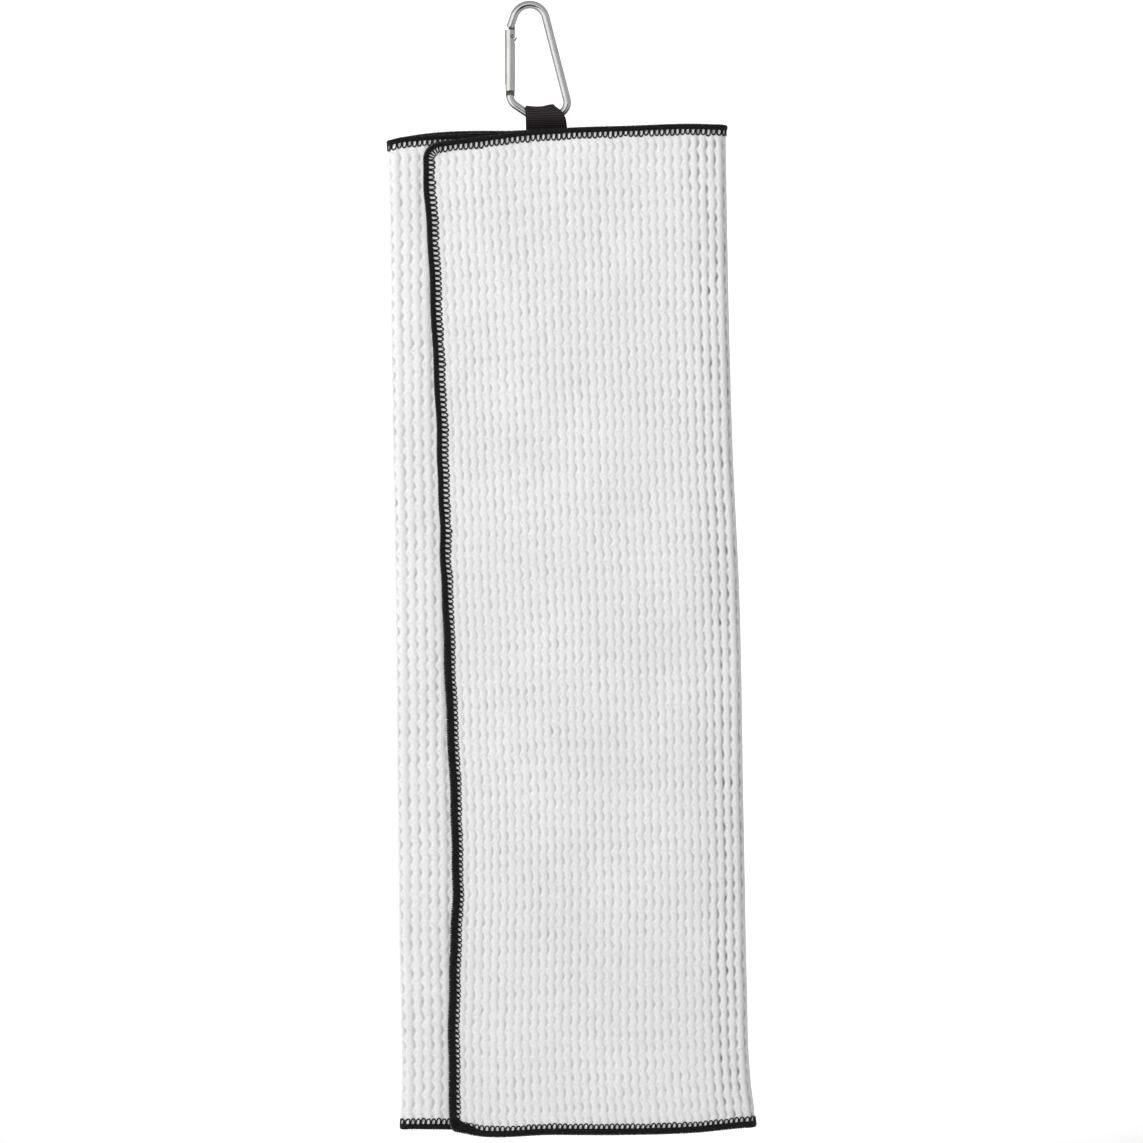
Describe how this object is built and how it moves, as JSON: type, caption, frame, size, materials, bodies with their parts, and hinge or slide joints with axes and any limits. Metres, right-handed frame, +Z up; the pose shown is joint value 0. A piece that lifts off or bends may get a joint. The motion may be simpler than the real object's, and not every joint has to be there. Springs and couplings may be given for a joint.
{
  "type": "golf towel",
  "caption": "Square waffle-weave golf towel folded in three lengthwise, overlocked in black, hanging by a webbing loop from a D-shaped snap hook with a sprung gate.",
  "frame": {"origin": "the inside top of the snap hook's crown, on the rod's middle plane, where a bag ring or a peg bears", "axes": "+Z up along the hanging towel, +Y out of its back, +X to the right as the folded front faces the viewer"},
  "size_m": [0.1829, 0.0142, 0.5657],
  "materials": {
    "hook_aluminium": "satin, tumbled",
    "rivet_steel": "plain",
    "loop_webbing": "ribbed polyester webbing",
    "overlock_thread": "three-thread overlock",
    "waffle_cloth": "waffle-weave microfibre"
  },
  "bodies": {
    "hook": {"snap_hook_body": "hook_aluminium"},
    "gate": {"gate_sleeve": "hook_aluminium", "gate_rivet": "rivet_steel", "gate_spring": "rivet_steel"},
    "towel": {"webbing_loop": "loop_webbing", "loop_bar_tack_1": "overlock_thread", "loop_bar_tack_2": "overlock_thread", "back_panel_cloth": "waffle_cloth", "back_panel_top_edging": "overlock_thread", "back_panel_bottom_edging": "overlock_thread", "left_fold_cloth": "waffle_cloth", "left_fold_top_edging": "overlock_thread", "left_fold_bottom_edging": "overlock_thread", "inner_flap_cloth": "waffle_cloth", "inner_flap_top_edging": "overlock_thread", "inner_flap_side_edging": "overlock_thread", "inner_flap_bottom_edging": "overlock_thread", "right_fold_cloth": "waffle_cloth", "right_fold_top_edging": "overlock_thread", "right_fold_bottom_edging": "overlock_thread"},
    "front_flap": {"front_flap_cloth": "waffle_cloth", "front_flap_top_edging": "overlock_thread", "front_flap_side_edging": "overlock_thread", "front_flap_bottom_edging": "overlock_thread"}
  },
  "joints": [
    {"name": "gate_hinge", "type": "hinge", "parent": "hook", "child": "gate", "pos_m": [-0.00865, 0, -0.014], "axis": [0, -1, 0], "range_deg": [0, 40], "stiffness_Nm_per_rad": 0.04, "springref_deg": -17.19},
    {"name": "loop_swing", "type": "hinge", "parent": "hook", "child": "towel", "pos_m": [0.0082, 0, -0.05305], "axis": [1, 0, 0], "range_deg": [-70, 70]},
    {"name": "front_flap_fold", "type": "hinge", "parent": "towel", "child": "front_flap", "pos_m": [0.10263, -0.0015, -0.30889], "axis": [-0.0175, 0, 0.9998], "range_deg": [0, 180], "deforming": ["right_fold_cloth", "right_fold_top_edging", "right_fold_bottom_edging"]}
  ]
}
